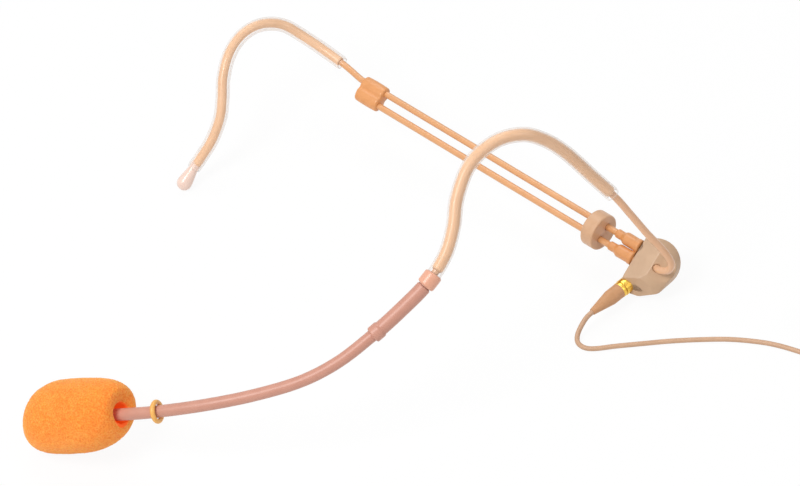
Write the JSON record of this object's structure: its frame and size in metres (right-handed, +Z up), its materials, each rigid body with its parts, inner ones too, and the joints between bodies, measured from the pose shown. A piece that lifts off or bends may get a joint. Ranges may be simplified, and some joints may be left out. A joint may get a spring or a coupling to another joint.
{
  "type": "headset microphone",
  "caption": "Two-ear headset microphone: telescopic neckband, clear-tube ear hooks, bendable boom, foam windscreen, unplugging lead.",
  "frame": {"origin": "under the middle of the headset, on the surface it rests on", "axes": "+Z up from that surface; +X along the headset's longest extent, from the windscreen towards the housing; +Y towards the far ear hook"},
  "size_m": [0.2073, 0.1301, 0.0615],
  "materials": {
    "foam": "fine open-cell foam",
    "capsule_metal": "satin",
    "gold": "gold plate",
    "board": "solder mask",
    "ring_rubber": "smooth silicone",
    "boom_pink": "matt heat-shrink sleeve",
    "band_salmon": "satin heat-shrink sleeve",
    "steel": "drawn",
    "lead_red": "smooth insulation",
    "clear_tube": "clear silicone",
    "core_beige": "satin sleeve",
    "tip_silicone": "translucent silicone",
    "rod_coat": "satin lacquer on steel",
    "ferrule_orange": "moulded, satin",
    "housing_taupe": "moulded, fine satin",
    "boot_tan": "soft moulded",
    "cable_beige": "satin jacket",
    "white_plastic": "moulded",
    "black_plastic": "moulded",
    "nickel": "nickel plate"
  },
  "bodies": {
    "headset": {"capsule_case": "capsule_metal", "capsule_grille": "gold", "mic_element": "capsule_metal", "capsule_board": "board", "boom_tube": "boom_pink", "boom_core": "steel", "mic_lead": "lead_red", "boom_sleeve": "boom_pink", "joint_band": "band_salmon", "near_hook_tube": "clear_tube", "near_hook_core": "core_beige", "near_hook_wire": "rod_coat", "lower_rod": "rod_coat", "left_ferrule": "ferrule_orange", "housing_front": "housing_taupe", "housing_back": "housing_taupe", "terminal_board": "board", "socket_shell": "gold", "socket_insulator": "white_plastic", "socket_contact": "gold"},
    "foam": {"windscreen": "foam"},
    "ring": {"moisture_ring": "ring_rubber"},
    "far_side": {"far_hook_tube": "clear_tube", "far_hook_core": "core_beige", "far_hook_tip": "tip_silicone", "upper_rod": "rod_coat", "right_ferrule": "ferrule_orange"},
    "slider": {"band_slider": "housing_taupe"},
    "lead": {"plug_shell": "gold", "plug_insulator": "white_plastic", "plug_pin": "gold", "cable_boot": "boot_tan", "cable": "cable_beige", "cable_coil": "cable_beige", "coil_tie": "black_plastic", "cable_tail": "cable_beige", "end_boot": "black_plastic", "end_barrel": "nickel", "end_sleeve": "nickel", "end_insulator": "black_plastic", "end_tip": "nickel"},
    "nut": {"end_nut": "nickel"}
  },
  "joints": [
    {"name": "windscreen_pull", "type": "slide", "parent": "headset", "child": "foam", "axis": [-0.8152, 0.4898, -0.309], "range_m": [0, 0.018]},
    {"name": "ring_slide", "type": "slide", "parent": "headset", "child": "ring", "axis": [0.8958, -0.3603, 0.2602], "range_m": [-0.002, 0.003]},
    {"name": "neckband_slide", "type": "slide", "parent": "headset", "child": "far_side", "axis": [-0.623, 0.7804, 0.0523], "range_m": [0, 0.035]},
    {"name": "slider_slide", "type": "slide", "parent": "far_side", "child": "slider", "axis": [-0.623, 0.7804, 0.0523], "range_m": [0, 0.03]},
    {"name": "lead_pull", "type": "slide", "parent": "headset", "child": "lead", "axis": [-0.809, -0.5878, 0], "range_m": [0, 0.006]},
    {"name": "nut_spin", "type": "hinge", "parent": "lead", "child": "nut", "pos_m": [0.1238, -0.0115, 0.0045], "axis": [0, 1, 0], "continuous": true}
  ]
}
